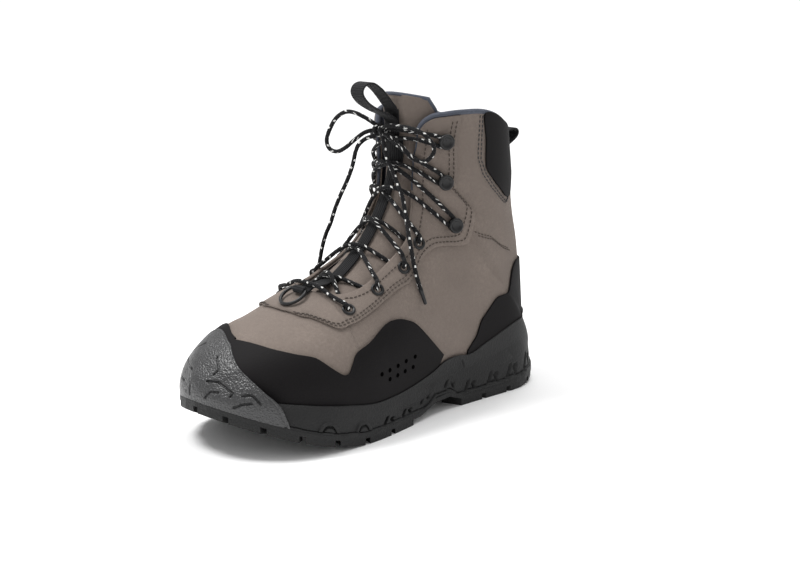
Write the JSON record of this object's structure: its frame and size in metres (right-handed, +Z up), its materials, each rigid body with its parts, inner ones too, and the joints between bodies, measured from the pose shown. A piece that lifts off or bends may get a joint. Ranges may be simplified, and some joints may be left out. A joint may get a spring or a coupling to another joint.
{
  "type": "wading boot",
  "caption": "Lace-up ankle-high wading boot with a lugged rubber sole, rubber toe bumper, film rand and heel counter, and a hollow woven upper.",
  "frame": {"origin": "on the floor under the middle of the boot's bounding box", "axes": "+Z up, -Y towards the toe, +X towards the lateral side"},
  "size_m": [0.1292, 0.315, 0.2455],
  "materials": {
    "sole_rubber": "matte dark grey rubber",
    "bumper_rubber": "matte pebbled grey rubber",
    "upper_fabric": "fine taupe weave",
    "black_film": "matte black film over fabric",
    "black_webbing": "ribbed black webbing",
    "insole_foam": "cloth-faced foam",
    "black_metal": "satin black painted metal",
    "lace_cord": "round braided black cord with pale flecks",
    "black_plastic": "black plastic"
  },
  "bodies": {
    "root": {"outsole": "sole_rubber", "midsole": "sole_rubber", "toe_bumper": "bumper_rubber", "upper": "upper_fabric", "rand": "black_film", "heel_counter": "black_film", "collar_patch": "black_film", "eyestay": "upper_fabric", "tongue": "upper_fabric", "tongue_webbing": "black_webbing", "lace_keeper": "black_webbing", "insole": "insole_foam", "eyelet_lateral_1": "black_metal", "eyelet_lateral_2": "black_metal", "eyelet_lateral_3": "black_metal", "eyelet_lateral_4": "black_metal", "eyelet_medial_1": "black_metal", "eyelet_medial_2": "black_metal", "eyelet_medial_3": "black_metal", "eyelet_medial_4": "black_metal", "hook_lateral_1": "black_metal", "hook_lateral_2": "black_metal", "hook_lateral_3": "black_metal", "hook_medial_1": "black_metal", "hook_medial_2": "black_metal", "hook_medial_3": "black_metal", "lace_ring": "black_metal", "ring_tab": "black_webbing", "tongue_pull_loop": "black_webbing", "heel_pull_loop": "black_webbing", "lace_crossing_1": "lace_cord", "lace_crossing_2": "lace_cord", "lace_crossing_3": "lace_cord", "lace_crossing_4": "lace_cord", "lace_crossing_5": "lace_cord", "lace_crossing_6": "lace_cord", "lace_bottom_bar": "lace_cord", "lace_top_bar": "lace_cord", "lace_knot": "lace_cord", "bow_loop_medial": "lace_cord", "bow_loop_lateral": "lace_cord", "lace_end_lateral": "lace_cord", "lace_end_medial": "lace_cord", "aglet_lateral": "black_plastic", "aglet_medial": "black_plastic"}
  },
  "joints": []
}
